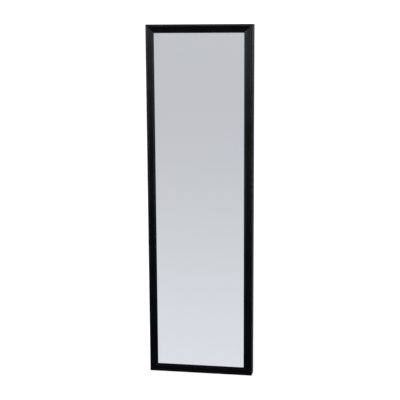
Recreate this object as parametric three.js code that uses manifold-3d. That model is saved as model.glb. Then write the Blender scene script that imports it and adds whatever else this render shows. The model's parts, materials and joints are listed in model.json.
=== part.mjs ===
// Pull-out closet mirror: a tall mirror in a deep mitred frame, hinged to a carriage post that rides
// on two full-extension ball slides. It is drawn stowed, flat against the closet's side panel.
// Millimetres. +X is the way it pulls out, -Y the way the stowed mirror faces, +Z up.
// The origin is on the panel plane, on the upper slide's centre line and in line with the mirror's middle.
import * as THREE from 'three';
import { mergeVertices } from 'three/addons/utils/BufferGeometryUtils.js';
import Module from 'manifold-3d';

const wasm = await Module();
wasm.setup();

// Driving sizes of the framed mirror
const mirrorHeight = 1220;
const mirrorWidth = 365;
const faceWidth = 29;
const frameDepth = 50.8;
const lipCover = 5;
const lipDepth = 3.4;
const frameWall = 1.8;
const shoulderRadius = 4.5;
const shoulderLand = 2;
const faceStep = 0.9;
const faceFall = 0.9;
const grooveWidth = 1.6;
const grooveDepth = 0.6;
const beadWidth = 5.2;
const beadRound = 2;
const keyChamberDepth = 14;
const keyReach = 52;
const keyToothPitch = 5;
const keyToothDepth = 0.8;
const mitreGap = 0.3;

// Sheets behind the lip
const glassThickness = 4;
const glassArris = 0.6;
const foamThickness = 3;
const panelThickness = 3;
const edgeClearance = 0.6;

// Clips that hold the sheets in
const clipThickness = 1.2;
const clipWidth = 16;
const clipFoot = 14;
const clipRise = 16;
const clipScrewRise = 9;
const clipEndInset = 210;

// Ball slides
const slideLength = 350;
const slideHeight = 45.7;
const slideThickness = 12.7;
const slideEndInset = 230;
const slideFrontInset = 14;
const cabinetSheet = 1.2;
const middleSheet = 1;
const innerSheet = 1.2;
const cageSheet = 0.8;
const outerBallRadius = 2;
const innerBallRadius = 1.6;
const raceClearance = 0.1;
const outerRowDepth = 5;
const innerRowDepth = 9.2;
const cabinetLipDepth = 10;
const outerCageLipDepth = 7.4;
const innerCageLipDepth = 10.4;
const cageLength = 170;
const ballPitch = 22;
const ballEndMargin = 7;
const cageWindowBorder = 14;
const cageWindowHalfHeight = 9;
const cabinetCurlShares = [5 / 9, -5 / 9];
const middleLipShares = [11 / 18, -2 / 9];
const middleGrooveShares = [14 / 9, 41 / 18];
const innerCurlShares = [23 / 9, 5 / 3];
const panelHoleRadius = 2.4;
const panelHoleInset = 37;
const panelHoleStep = 32;
const panelHoleSteps = [0, 1, 6, 9];
const accessHoleRadius = 5.5;
const memberHoleRadius = 2.1;

// Carriage post
const postWidth = 28;
const postSheet = 2;
const postDepth = 12;
const postFrontGap = 0.7;
const postEndReach = 42;
const notchClearance = 1.2;
const postScrewSpacing = 15;
const postBend = 2.4;

// Hinges
const hingeEndInset = 130;
const hingeAxisInset = 9;
const barrelRadius = 5;
const pinRadius = 3;
const pinClearance = 0.2;
const barrelLength = 60;
const middleBarrelLength = 22;
const washerThickness = 1;
const hingeLeafSheet = 2;
const frameLeafLength = 94;
const frameLeafReach = 12.5;
const frameLeafFront = 6;
const frameLeafScrewInset = 7.5;
const postLeafReach = 25;
const postLeafScrewInset = 7;
const postLeafScrewSpacing = 40;
const reliefClearance = 0.6;
const pinHeadRadius = 4.6;
const pinHeadHeight = 1.8;
const cornerRound = 2.5;

// Screws, all small machine screws with button or flush heads
const screwRadius = 1.8;
const screwHeadRadius = 3.6;
const screwHeadHeight = 1.9;
const screwHoleClearance = 0.25;
const socketRadius = 1.3;
const socketDepth = 0.9;
const screwHeadRound = 0.6;
const screwReachPast = 3;

// Rest bumpers
const bumperRadius = 6.5;
const bumperStemRadius = 1.8;
const bumperInset = 12;
const bumperRound = 1;

// Fits and cuts
const seatGap = 0.3;
const cutOverrun = 4;
const roundSides = 16;
const holeSides = 12;
const screwSides = 10;
const weldDistance = 1e-4;
const quarterTurn = Math.PI / 2;

// Places that follow from the sizes above
const hingeSpacing = mirrorHeight - 2 * hingeEndInset;
const slideSpacing = mirrorHeight - 2 * slideEndInset;
const clipSpacing = mirrorHeight / 2 - clipEndInset;
const seatInset = faceWidth - lipCover;
const glassFront = lipDepth + seatGap;
const foamFront = glassFront + glassThickness + seatGap;
const panelFront = foamFront + foamThickness + seatGap;
const panelBack = panelFront + panelThickness;
const chamberFront = faceStep + faceFall + frameWall;
const keyChamberBack = chamberFront + keyChamberDepth;
const postFront = frameDepth + seatGap + hingeLeafSheet + postFrontGap;
const postBack = postFront + postSheet;
const slideFront = postBack + seatGap;
const overallDepth = slideFront + slideThickness;
const hingeX = mirrorWidth / 2 - hingeAxisInset;
const hingeY = frameDepth + seatGap + barrelRadius;
const slideX1 = mirrorWidth / 2 - slideFrontInset;
const slideX0 = slideX1 - slideLength;
const postX1 = hingeX - barrelRadius - seatGap;
const postX0 = postX1 - postWidth;
const postHalfHeight = hingeSpacing / 2 + postEndReach;
const postScrewX = (postX0 + postX1) / 2;
const bumperX = slideX0 + bumperInset;

// Materials, one for each finish
function material(colour, roughness, metalness) {
  return new THREE.MeshStandardMaterial({ color: colour, roughness, metalness });
}

const frameBlack = material(0x0c0c0e, 0.42, 0.1);
const keyGrey = material(0x8a8c8e, 0.55, 0.8);
const mirrorSilver = material(0xc6cad0, 0.04, 1);
const foamWhite = material(0xe9e9e4, 0.9, 0);
const boardBrown = material(0x7b5a3c, 0.85, 0);
const zincSteel = material(0xb4b8bb, 0.35, 0.9);
const postBlack = material(0x141416, 0.5, 0.2);
const cageBlack = material(0x1c1c1e, 0.6, 0);
const nylonWhite = material(0xe6e3d8, 0.5, 0);
const rubberBlack = material(0x121212, 0.9, 0);
const screwSteel = material(0x9a9da0, 0.35, 0.9);

// Turns a closed geometry into a solid that can be joined and cut.
function solidOf(geometry) {
  const bare = geometry.index ? geometry.toNonIndexed() : geometry.clone();
  bare.deleteAttribute('normal');
  bare.deleteAttribute('uv');
  const merged = mergeVertices(bare, weldDistance);
  return new wasm.Manifold(new wasm.Mesh({
    numProp: 3,
    vertProperties: new Float32Array(merged.attributes.position.array),
    triVerts: new Uint32Array(merged.index.array),
  }));
}

// Turns a solid back into a geometry with flat faces.
function geometryOf(solid) {
  const mesh = solid.getMesh();
  const geometry = new THREE.BufferGeometry();
  geometry.setAttribute('position', new THREE.BufferAttribute(new Float32Array(mesh.vertProperties), 3));
  geometry.setIndex(new THREE.BufferAttribute(new Uint32Array(mesh.triVerts), 1));
  const flat = geometry.toNonIndexed();
  flat.computeVertexNormals();
  return flat;
}

const joined = (solids) => solids.reduce((sum, solid) => sum.add(solid));
const cutBy = (solid, cutters) => cutters.reduce((left, cutter) => left.subtract(cutter), solid);

// A box between two corners.
function box(low, high) {
  const size = high.map((value, i) => value - low[i]);
  const middle = high.map((value, i) => (value + low[i]) / 2);
  return new THREE.BoxGeometry(...size).translate(...middle);
}

// An outline drawn in (x, y) and carried along z.
function alongZ(shape, z0, z1) {
  const carried = new THREE.ExtrudeGeometry(shape, { depth: z1 - z0, steps: 1, bevelEnabled: false });
  return carried.translate(0, 0, z0);
}

// The turn that sends x, y and z to three given axes.
function basis(...axes) {
  const [x, y, z] = axes.map((axis) => new THREE.Vector3(...axis));
  return new THREE.Matrix4().makeBasis(x, y, z);
}

// An outline drawn in (y, z) and carried along x.
function alongX(shape, x0, x1) {
  return alongZ(shape, x0, x1).applyMatrix4(basis([0, 1, 0], [0, 0, 1], [1, 0, 0]));
}

// An outline drawn in (x, z) and carried along y.
function alongY(shape, y0, y1) {
  return alongZ(shape, -y1, -y0).applyMatrix4(basis([1, 0, 0], [0, 0, 1], [0, -1, 0]));
}

// A round bar from one height to another along an axis through a point.
function bar(axis, radius, from, to, at = [0, 0, 0], sides = roundSides) {
  const length = to - from;
  const rod = new THREE.CylinderGeometry(radius, radius, length, sides).translate(0, from + length / 2, 0);
  if (axis === 'x') rod.rotateZ(-quarterTurn);
  if (axis === 'z') rod.rotateX(quarterTurn);
  return rod.translate(...at);
}

// A turned piece: its profile in (radius, height) spun about the y axis.
function turned(profile, sides) {
  return new THREE.LatheGeometry(profile.map(([r, h]) => new THREE.Vector2(r, h)), sides);
}

function polygon(points) {
  const shape = new THREE.Shape();
  shape.setFromPoints(points.map(([x, y]) => new THREE.Vector2(x, y)));
  return shape;
}

function rectangle(x0, y0, x1, y1) {
  return polygon([[x0, y0], [x1, y0], [x1, y1], [x0, y1]]);
}

function roundedRectangle(x0, y0, x1, y1, radius, segments = 3) {
  const centres = [
    [x1 - radius, y1 - radius],
    [x0 + radius, y1 - radius],
    [x0 + radius, y0 + radius],
    [x1 - radius, y0 + radius],
  ];
  const corner = (centre, i) => arc(centre, radius, i * quarterTurn, (i + 1) * quarterTurn, segments);
  return polygon(centres.flatMap(corner));
}

// Points of an arc about a centre, both ends counted.
function arc([cx, cy], radius, from, to, segments) {
  return Array.from({ length: segments + 1 }, (_, i) => {
    const angle = from + (to - from) * i / segments;
    return [cx + radius * Math.cos(angle), cy + radius * Math.sin(angle)];
  });
}

// The closed outline of a bent sheet, half its thickness to each side of a centre line.
function sheetOutline(line, thickness) {
  const points = line.map(([x, y]) => new THREE.Vector2(x, y));
  const sides = points.slice(1).map((point, i) => {
    const along = point.clone().sub(points[i]).normalize();
    return new THREE.Vector2(-along.y, along.x);
  });
  const offsets = points.map((_, i) => {
    const before = sides[Math.max(i - 1, 0)];
    const after = sides[Math.min(i, sides.length - 1)];
    const middle = before.clone().add(after).normalize();
    return middle.multiplyScalar(thickness / 2 / middle.dot(after));
  });
  const left = points.map((point, i) => point.clone().add(offsets[i]));
  const right = points.map((point, i) => point.clone().sub(offsets[i]));
  return polygon([...left, ...right.reverse()].map((point) => [point.x, point.y]));
}

function named(name, geometry, finish) {
  const mesh = new THREE.Mesh(geometry, finish);
  mesh.name = name;
  return mesh;
}

const assembly = new THREE.Group();

// The framed mirror: x from its middle, y from its front face back, z from its middle.
const mirror = new THREE.Group();
mirror.position.set(0, -overallDepth, -slideSpacing / 2);
assembly.add(mirror);

// The frame's extrusion, u inward from its outer edge and v back from its front: a rounded shoulder with a
// flat land, a step down to a face that falls inward, a fine groove, a rounded bead and a lip over the glass,
// with two chambers behind.
function frameSection() {
  const landEnd = shoulderRadius + shoulderLand;
  const faceEnd = faceStep + faceFall;
  const grooveEnd = faceWidth - beadWidth;
  const grooveStart = grooveEnd - grooveWidth;
  const outline = [
    [0, frameDepth],
    ...arc([shoulderRadius, shoulderRadius], shoulderRadius, Math.PI, 1.5 * Math.PI, 6),
    [landEnd, 0],
    [landEnd + faceStep, faceStep],
    [grooveStart, faceEnd],
    [grooveStart + grooveWidth / 2, faceEnd + grooveDepth],
    [grooveEnd, faceEnd],
    ...arc([faceWidth - beadRound, faceStep + beadRound], beadRound, 1.25 * Math.PI, 2 * Math.PI, 4),
    [faceWidth, lipDepth],
    [seatInset, lipDepth],
    [seatInset, frameDepth],
  ];
  const section = polygon(outline);
  const innerWall = seatInset - frameWall;
  section.holes.push(rectangle(frameWall, chamberFront, innerWall, keyChamberBack));
  section.holes.push(rectangle(frameWall, keyChamberBack + frameWall, innerWall, frameDepth - frameWall));
  return section;
}

// One rail of the frame, built as the left-hand stile with both ends cut to the mitre. The groups turn it
// into its place.
function frameRail(length) {
  const rail = alongZ(frameSection(), 0, length);
  const places = rail.attributes.position;
  const halfGap = mitreGap / 2 * Math.SQRT2;
  for (let i = 0; i < places.count; i += 1) {
    const inset = places.getX(i) + halfGap;
    places.setZ(i, places.getZ(i) > length / 2 ? length - inset : inset);
  }
  return solidOf(rail);
}

// Clip holes in a stile's inner wall, and the hinge screws' holes in the leading stile's back.
const clipScrewDepth = panelBack + seatGap + clipScrewRise;
const clipHeights = [-clipSpacing, 0, clipSpacing];
const hingeHeights = [hingeSpacing / 2, -hingeSpacing / 2];
const frameScrewHeight = frameLeafLength / 2 - frameLeafScrewInset;
const frameScrewOffset = (frameLeafFront - frameLeafReach) / 2;
const holeRadius = screwRadius + screwHoleClearance;

function stile(withHinges) {
  const middle = mirrorHeight / 2;
  const wallStart = seatInset - frameWall - cutOverrun / 2;
  const wallEnd = seatInset + cutOverrun;
  const cuts = clipHeights.map((height) => {
    const at = [0, clipScrewDepth, middle + height];
    return bar('x', holeRadius, wallStart, wallEnd, at, holeSides);
  });
  if (withHinges) {
    const backStart = frameDepth - frameWall - cutOverrun / 2;
    for (const height of hingeHeights) {
      for (const side of [-1, 1]) {
        const at = [hingeAxisInset - frameScrewOffset, 0, middle + height + side * frameScrewHeight];
        cuts.push(bar('y', holeRadius, backStart, frameDepth + cutOverrun, at, holeSides));
      }
    }
  }
  return cutBy(frameRail(mirrorHeight), cuts.map(solidOf));
}

const railSolids = {
  trailing_stile: [stile(false), mirrorWidth, mirrorHeight, 0],
  top_rail: [frameRail(mirrorWidth), mirrorHeight, mirrorWidth, 1],
  leading_stile: [stile(true), mirrorWidth, mirrorHeight, 2],
  bottom_rail: [frameRail(mirrorWidth), mirrorHeight, mirrorWidth, 3],
};
for (const [name, [solid, across, along, turns]] of Object.entries(railSolids)) {
  const side = new THREE.Group();
  side.rotation.y = turns * quarterTurn;
  const rail = named(name, geometryOf(solid), frameBlack);
  rail.position.set(-across / 2, 0, -along / 2);
  side.add(rail);
  mirror.add(side);
}

// An angle key in the front chamber of each mitre, with gripping teeth along its outer edges.
function cornerKey() {
  const outer = frameWall + seatGap;
  const inner = seatInset - frameWall - seatGap;
  const count = Math.floor((keyReach - inner) / keyToothPitch) - 1;
  const teeth = (place) => Array.from({ length: count }, (_, i) => {
    const start = inner + (i + 1) * keyToothPitch;
    return [
      place(start, outer),
      place(start + keyToothDepth, outer + keyToothDepth),
      place(start + 2 * keyToothDepth, outer),
    ];
  }).flat();
  const alongFoot = teeth((reach, edge) => [reach, edge]);
  const upSide = teeth((reach, edge) => [edge, reach]).reverse();
  const outline = [
    [outer, outer],
    ...alongFoot,
    [keyReach, outer],
    [keyReach, inner],
    [inner, inner],
    [inner, keyReach],
    [outer, keyReach],
    ...upSide,
  ];
  return alongY(polygon(outline), chamberFront + seatGap, keyChamberBack - seatGap);
}

const keyGeometry = geometryOf(solidOf(cornerKey()));
const keyCorners = [['bottom_trailing', 0], ['top_trailing', 1], ['top_leading', 2], ['bottom_leading', 3]];
for (const [corner, turns] of keyCorners) {
  const across = turns % 2 ? mirrorHeight : mirrorWidth;
  const along = turns % 2 ? mirrorWidth : mirrorHeight;
  const side = new THREE.Group();
  side.rotation.y = turns * quarterTurn;
  const key = named(`corner_key_${corner}`, keyGeometry, keyGrey);
  key.position.set(-across / 2, 0, -along / 2);
  side.add(key);
  mirror.add(side);
}

// The sheets: glass with a fine arris, foam and back panel, stacked behind the lip.
const sheetHalfX = mirrorWidth / 2 - seatInset - edgeClearance;
const sheetHalfZ = mirrorHeight / 2 - seatInset - edgeClearance;

function glassSheet() {
  const halfX = sheetHalfX - glassArris;
  const halfZ = sheetHalfZ - glassArris;
  const depth = glassThickness - 2 * glassArris;
  const sheet = new THREE.ExtrudeGeometry(rectangle(-halfX, -halfZ, halfX, halfZ), {
    depth,
    steps: 1,
    bevelEnabled: true,
    bevelThickness: glassArris,
    bevelSize: glassArris,
    bevelSegments: 1,
  });
  return sheet.translate(0, 0, -depth / 2).applyMatrix4(basis([1, 0, 0], [0, 0, 1], [0, -1, 0]));
}

const glass = named('mirror_glass', geometryOf(solidOf(glassSheet())), mirrorSilver);
glass.position.y = glassFront + glassThickness / 2;
mirror.add(glass);
const flatSheet = (front, back) => box([-sheetHalfX, front, -sheetHalfZ], [sheetHalfX, back, sheetHalfZ]);
mirror.add(named('foam_sheet', flatSheet(foamFront, foamFront + foamThickness), foamWhite));
mirror.add(named('back_panel', flatSheet(panelFront, panelBack), boardBrown));

// A screw along +y: a head below zero, a shank from zero up to its reach. A flush head sinks above zero.
function screw(reach, flush) {
  const headBase = flush ? 0 : -screwHeadHeight;
  const flushHead = [
    [0, headBase],
    [screwHeadRadius, headBase],
    [screwHeadRadius, headBase + seatGap],
    [screwRadius, screwHeadHeight],
  ];
  const buttonHead = [
    [0, headBase],
    [screwHeadRadius - screwHeadRound, headBase],
    [screwHeadRadius, headBase + screwHeadRound],
    [screwHeadRadius, 0],
    [screwRadius, 0],
  ];
  const head = flush ? flushHead : buttonHead;
  const tip = [
    [screwRadius, reach - screwRadius / 2],
    [screwRadius / 2, reach],
    [0, reach],
  ];
  const body = turned([...head, ...tip], screwSides);
  const socket = bar('y', socketRadius, headBase - cutOverrun, headBase + socketDepth, [0, 0, 0], 6);
  return geometryOf(cutBy(solidOf(body), [solidOf(socket)]));
}

// L-shaped clips screwed to the stiles' inner walls, each foot over the back panel's edge.
const clipFront = panelBack + seatGap;
const clipOutline = sheetOutline([
  [clipFoot, clipFront + clipThickness / 2],
  [clipThickness / 2, clipFront + clipThickness / 2],
  [clipThickness / 2, clipFront + clipRise],
], clipThickness);
const clipSolid = solidOf(alongZ(clipOutline, -clipWidth / 2, clipWidth / 2));
const clipHole = solidOf(bar('x', holeRadius, -cutOverrun, cutOverrun, [0, clipScrewDepth, 0], holeSides));
const clipGeometry = geometryOf(cutBy(clipSolid, [clipHole]));
const clipScrewGeometry = screw(clipThickness + seatGap + frameWall + screwReachPast, false);
const clipRows = { top: clipSpacing, middle: 0, bottom: -clipSpacing };
for (const [sideName, facing] of [['trailing', 1], ['leading', -1]]) {
  for (const [rowName, z] of Object.entries(clipRows)) {
    const seat = new THREE.Group();
    seat.position.set(-facing * (mirrorWidth / 2 - seatInset - seatGap), 0, z);
    seat.rotation.y = facing > 0 ? 0 : Math.PI;
    seat.add(named(`panel_clip_${sideName}_${rowName}`, clipGeometry, zincSteel));
    const fastener = named(`clip_screw_${sideName}_${rowName}`, clipScrewGeometry, screwSteel);
    fastener.position.set(clipThickness + seatGap, clipScrewDepth, 0);
    fastener.rotation.z = quarterTurn;
    seat.add(fastener);
    mirror.add(seat);
  }
}

// Hinge pieces, measured from the hinge axis.
const halfBarrel = barrelLength / 2;
const halfMiddle = middleBarrelLength / 2;
const outerBarrelStart = halfMiddle + 2 * seatGap + washerThickness;
const boreRadius = pinRadius + pinClearance;
const pinBore = () => solidOf(bar('z', boreRadius, -frameLeafLength, frameLeafLength));

// The leaf on the frame: a plate on the stile's back with the middle barrel.
function frameLeaf() {
  const half = frameLeafLength / 2;
  const outline = roundedRectangle(-frameLeafReach, -half, frameLeafFront, half, cornerRound);
  const plate = solidOf(alongY(outline, -barrelRadius, hingeLeafSheet - barrelRadius));
  const front = barrelRadius + reliefClearance;
  const relief = [1, -1].map((side) => {
    const near = side * (halfMiddle + seatGap);
    const far = side * (halfBarrel + seatGap + pinHeadHeight + reliefClearance);
    const low = [-front, -barrelRadius - cutOverrun, Math.min(near, far)];
    const high = [frameLeafFront + cutOverrun, barrelRadius, Math.max(near, far)];
    return solidOf(box(low, high));
  });
  const barrel = solidOf(bar('z', barrelRadius, -halfMiddle, halfMiddle));
  const screws = [1, -1].map((side) => {
    const hole = flushHole(hingeLeafSheet).rotateX(Math.PI);
    const backFace = hingeLeafSheet - barrelRadius;
    return solidOf(hole.translate(frameScrewOffset, backFace, side * frameScrewHeight));
  });
  return cutBy(joined([cutBy(plate, relief), barrel]), [pinBore(), ...screws]);
}

// A hole along +y with a flush head's seat at its start.
function flushHole(depth) {
  const wide = screwHeadRadius + screwHoleClearance;
  const profile = [
    [0, -cutOverrun],
    [wide, -cutOverrun],
    [wide, seatGap],
    [holeRadius, screwHeadHeight - seatGap / 2],
    [holeRadius, depth + cutOverrun],
    [0, depth + cutOverrun],
  ];
  return turned(profile, holeSides);
}

// The leaf on the post: a plate through the post's flange, with a barrel above and below the middle one.
function postLeaf() {
  const plate = solidOf(box([-postLeafReach, 0, -halfBarrel], [0, hingeLeafSheet, halfBarrel]));
  const barrels = [1, -1].map((side) => {
    const ends = [side * outerBarrelStart, side * halfBarrel].sort((a, b) => a - b);
    return solidOf(bar('z', barrelRadius, ends[0], ends[1]));
  });
  const front = barrelRadius + reliefClearance;
  const low = [-front, -barrelRadius, -outerBarrelStart];
  const relief = solidOf(box(low, [cutOverrun, barrelRadius, outerBarrelStart]));
  const screws = [1, -1].map((side) => {
    const at = [postLeafScrewInset - postLeafReach, 0, side * postLeafScrewSpacing / 2];
    return solidOf(bar('y', holeRadius, -cutOverrun, hingeLeafSheet + cutOverrun, at, holeSides));
  });
  return cutBy(joined([cutBy(plate, [relief]), ...barrels]), [pinBore(), ...screws]);
}

// The pin, with a head above and a riveted end below.
function hingePin() {
  const headBase = halfBarrel + seatGap;
  const headTop = headBase + pinHeadHeight;
  const round = pinHeadHeight / 2;
  const profile = [
    [0, -headTop],
    [pinHeadRadius - round, -headTop],
    [pinHeadRadius, -headTop + round],
    [pinHeadRadius, -headBase],
    [pinRadius, -headBase],
    [pinRadius, headBase],
    [pinHeadRadius, headBase],
    [pinHeadRadius, headTop - round],
    [pinHeadRadius - round, headTop],
    [0, headTop],
  ];
  return turned(profile, roundSides).rotateX(quarterTurn);
}

// A washer between two barrels.
function hingeWasher() {
  const bottom = halfMiddle + seatGap;
  const ring = solidOf(bar('z', barrelRadius, bottom, bottom + washerThickness));
  return cutBy(ring, [pinBore()]);
}

const frameLeafGeometry = geometryOf(frameLeaf());
const postLeafGeometry = geometryOf(postLeaf());
const pinGeometry = geometryOf(solidOf(hingePin()));
const washerGeometry = geometryOf(hingeWasher());
const frameScrewGeometry = screw(hingeLeafSheet + seatGap + frameWall + screwReachPast, true);
const postScrewReach = hingeLeafSheet + seatGap + postSheet;
const postLeafScrewGeometry = screw(postScrewReach, false);
for (const [i, row] of ['upper', 'lower'].entries()) {
  const height = hingeHeights[i];
  const hinge = new THREE.Group();
  hinge.position.set(hingeX, hingeY, height);
  mirror.add(hinge);
  hinge.add(named(`${row}_hinge_frame_leaf`, frameLeafGeometry, zincSteel));
  hinge.add(named(`${row}_hinge_post_leaf`, postLeafGeometry, zincSteel));
  hinge.add(named(`${row}_hinge_pin`, pinGeometry, zincSteel));
  hinge.add(named(`${row}_hinge_top_washer`, washerGeometry, nylonWhite));
  const lowWasher = named(`${row}_hinge_bottom_washer`, washerGeometry, nylonWhite);
  lowWasher.rotation.x = Math.PI;
  hinge.add(lowWasher);
  for (const [end, side] of [['top', 1], ['bottom', -1]]) {
    const frameScrew = named(`${row}_hinge_frame_screw_${end}`, frameScrewGeometry, screwSteel);
    frameScrew.position.set(frameScrewOffset, hingeLeafSheet - barrelRadius, side * frameScrewHeight);
    frameScrew.rotation.x = Math.PI;
    hinge.add(frameScrew);
    const postScrew = named(`${row}_hinge_post_screw_${end}`, postLeafScrewGeometry, screwSteel);
    const screwX = postLeafScrewInset - postLeafReach;
    postScrew.position.set(screwX, hingeLeafSheet + seatGap, side * postLeafScrewSpacing / 2);
    postScrew.rotation.x = Math.PI;
    hinge.add(postScrew);
  }
}

// The carriage post: a folded channel, notched over each slide and slotted for each hinge leaf.
function carriagePost() {
  const back = postFront + postDepth;
  const half = postSheet / 2;
  const line = [
    [postX0 + half, back],
    ...arc([postX0 + postBend, postFront + postBend], postBend - half, Math.PI, 1.5 * Math.PI, 3),
    ...arc([postX1 - postBend, postFront + postBend], postBend - half, 1.5 * Math.PI, 2 * Math.PI, 3),
    [postX1 - half, back],
  ];
  const channel = solidOf(alongZ(sheetOutline(line, postSheet), -postHalfHeight, postHalfHeight));
  const slideReach = slideHeight / 2 + notchClearance;
  const slotReach = halfBarrel + notchClearance;
  const slotX = postX1 - postBend - cutOverrun / 2;
  const slotY = postBack + hingeLeafSheet + 2 * seatGap;
  const leafScrewX = hingeX + postLeafScrewInset - postLeafReach;
  const holeStart = postFront - cutOverrun;
  const holeEnd = postBack + cutOverrun;
  const hole = (x, z) => bar('y', holeRadius, holeStart, holeEnd, [x, 0, z], holeSides);
  const cuts = [];
  for (const side of [1, -1]) {
    const slideZ = side * slideSpacing / 2;
    const hingeZ = side * hingeSpacing / 2;
    const notchEnd = [postX1 + cutOverrun, back + cutOverrun, slideZ + slideReach];
    const slotEnd = [postX1 + cutOverrun, slotY, hingeZ + slotReach];
    cuts.push(box([postX0 - cutOverrun, postBack, slideZ - slideReach], notchEnd));
    cuts.push(box([slotX, postBack, hingeZ - slotReach], slotEnd));
    for (const end of [-1, 1]) {
      cuts.push(hole(postScrewX + end * postScrewSpacing / 2, slideZ));
      cuts.push(hole(leafScrewX, hingeZ + end * postLeafScrewSpacing / 2));
    }
  }
  return geometryOf(cutBy(channel, cuts.map(solidOf)));
}

mirror.add(named('carriage_post', carriagePost(), postBlack));

// Slide members, in (y, z) with the panel plane at y = 0, so depth from the panel is -y.
const outerRow = slideHeight / 2 - cabinetSheet - raceClearance - outerBallRadius;
const middleRace = outerBallRadius + raceClearance + middleSheet / 2;
const innerRow = outerRow - middleRace - middleSheet / 2 - seatGap - cageSheet / 2;

// Points about a ball row, on the upper side: the angle runs from straight up towards the room, between two
// shares of a quarter turn.
function race(rowHeight, rowDepth, radius, [fromShare, toShare], segments) {
  return Array.from({ length: segments + 1 }, (_, i) => {
    const angle = (fromShare + (toShare - fromShare) * i / segments) * quarterTurn;
    return [-(rowDepth + radius * Math.sin(angle)), rowHeight + radius * Math.cos(angle)];
  });
}

// The whole member's centre line from the upper half, which runs from its lip to its web.
function bothHalves(upper) {
  const lower = upper.map(([y, z]) => [y, -z]).reverse();
  return [...upper, ...lower];
}

function cabinetLine() {
  const radius = outerBallRadius + raceClearance + cabinetSheet / 2;
  const curve = race(outerRow, outerRowDepth, radius, cabinetCurlShares, 6);
  const neck = curve[0][1];
  return bothHalves([[-cabinetLipDepth, neck], ...curve, [-cabinetSheet / 2, neck]]);
}

const outerCageWeb = cabinetSheet + seatGap + cageSheet / 2;
const middleWeb = outerCageWeb + cageSheet / 2 + seatGap + middleSheet / 2;
const innerCageWeb = middleWeb + middleSheet / 2 + seatGap + cageSheet / 2;

function middleLine() {
  const lipRadius = innerBallRadius + raceClearance + middleSheet / 2;
  const lip = race(innerRow, innerRowDepth, lipRadius, middleLipShares, 4);
  const groove = race(outerRow, outerRowDepth, middleRace, middleGrooveShares, 4);
  const foot = groove[groove.length - 1][1];
  return bothHalves([...lip, ...groove, [-middleWeb, foot]]);
}

function innerLine() {
  const radius = innerBallRadius + raceClearance + innerSheet / 2;
  const curve = race(innerRow, innerRowDepth, radius, innerCurlShares, 5);
  const foot = curve[curve.length - 1][1];
  return bothHalves([...curve, [innerSheet / 2 - slideThickness, foot]]);
}

const outerCageLine = () => bothHalves([[-outerCageLipDepth, outerRow], [-outerCageWeb, outerRow]]);
const innerCageLine = () => bothHalves([[-innerCageLipDepth, innerRow], [-innerCageWeb, innerRow]]);

const panelHoleXs = panelHoleSteps.map((step) => slideX1 - panelHoleInset - step * panelHoleStep);

// Round holes through a web, between two depths from the panel.
function webHoles(radius, xs, near, far) {
  return xs.map((x) => solidOf(bar('y', radius, -far, -near, [x, 0, 0], holeSides)));
}

const postScrewXs = [-1, 1].map((side) => postScrewX + side * postScrewSpacing / 2);

function member(line, sheet, x0, x1) {
  return solidOf(alongX(sheetOutline(line, sheet), x0, x1));
}

function ballCage(line, rowHeight, rowDepth, ballRadius, webDepth) {
  const x0 = (slideX0 + slideX1) / 2 - cageLength / 2;
  const x1 = x0 + cageLength;
  const count = Math.floor((cageLength - 2 * ballEndMargin) / ballPitch) + 1;
  const first = x0 + (cageLength - (count - 1) * ballPitch) / 2;
  const balls = [];
  for (const side of [1, -1]) {
    for (let i = 0; i < count; i += 1) {
      const ball = new THREE.SphereGeometry(ballRadius, 6, 4).rotateX(quarterTurn);
      balls.push(solidOf(ball.translate(first + i * ballPitch, -rowDepth, side * rowHeight)));
    }
  }
  const middle = (x0 + x1) / 2;
  const windows = [
    [x0 + cageWindowBorder, middle - cageWindowBorder / 2],
    [middle + cageWindowBorder / 2, x1 - cageWindowBorder],
  ];
  const cuts = windows.map(([from, to]) => {
    const low = [from, -webDepth - cageSheet, -cageWindowHalfHeight];
    return solidOf(box(low, [to, -webDepth + cageSheet, cageWindowHalfHeight]));
  });
  return geometryOf(joined([cutBy(member(line, cageSheet, x0, x1), cuts), ...balls]));
}

const innerHoleEnd = slideThickness + cutOverrun;
const bumperHoleRadius = bumperStemRadius + screwHoleClearance;
const cabinetHoles = webHoles(panelHoleRadius, panelHoleXs, -cutOverrun, outerCageWeb);
const accessHoles = webHoles(accessHoleRadius, panelHoleXs, cabinetSheet, innerCageWeb);
const innerHoles = [
  ...webHoles(holeRadius, postScrewXs, innerRowDepth, innerHoleEnd),
  ...webHoles(bumperHoleRadius, [bumperX], innerRowDepth, innerHoleEnd),
  ...webHoles(memberHoleRadius, panelHoleXs.slice(1), innerRowDepth, innerHoleEnd),
];
const wholeMember = (line, sheet, holes) => geometryOf(cutBy(member(line, sheet, slideX0, slideX1), holes));
const cabinetMember = wholeMember(cabinetLine(), cabinetSheet, cabinetHoles);
const middleMember = wholeMember(middleLine(), middleSheet, accessHoles);
const innerMember = wholeMember(innerLine(), innerSheet, innerHoles);
const outerCage = ballCage(outerCageLine(), outerRow, outerRowDepth, outerBallRadius, outerCageWeb);
const innerCage = ballCage(innerCageLine(), innerRow, innerRowDepth, innerBallRadius, innerCageWeb);

// A rubber bumper on the inner member, which the trailing stile's back rests against.
function restBumper() {
  const faceY = frameDepth + seatGap - overallDepth;
  const seatY = -slideThickness - seatGap;
  const stemY = -slideThickness + innerSheet + bumperStemRadius;
  const profile = [
    [0, faceY],
    [bumperRadius - bumperRound, faceY],
    [bumperRadius, faceY + bumperRound],
    [bumperRadius, seatY],
    [bumperStemRadius, seatY],
    [bumperStemRadius, stemY],
    [0, stemY],
  ];
  return turned(profile, roundSides);
}

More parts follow.
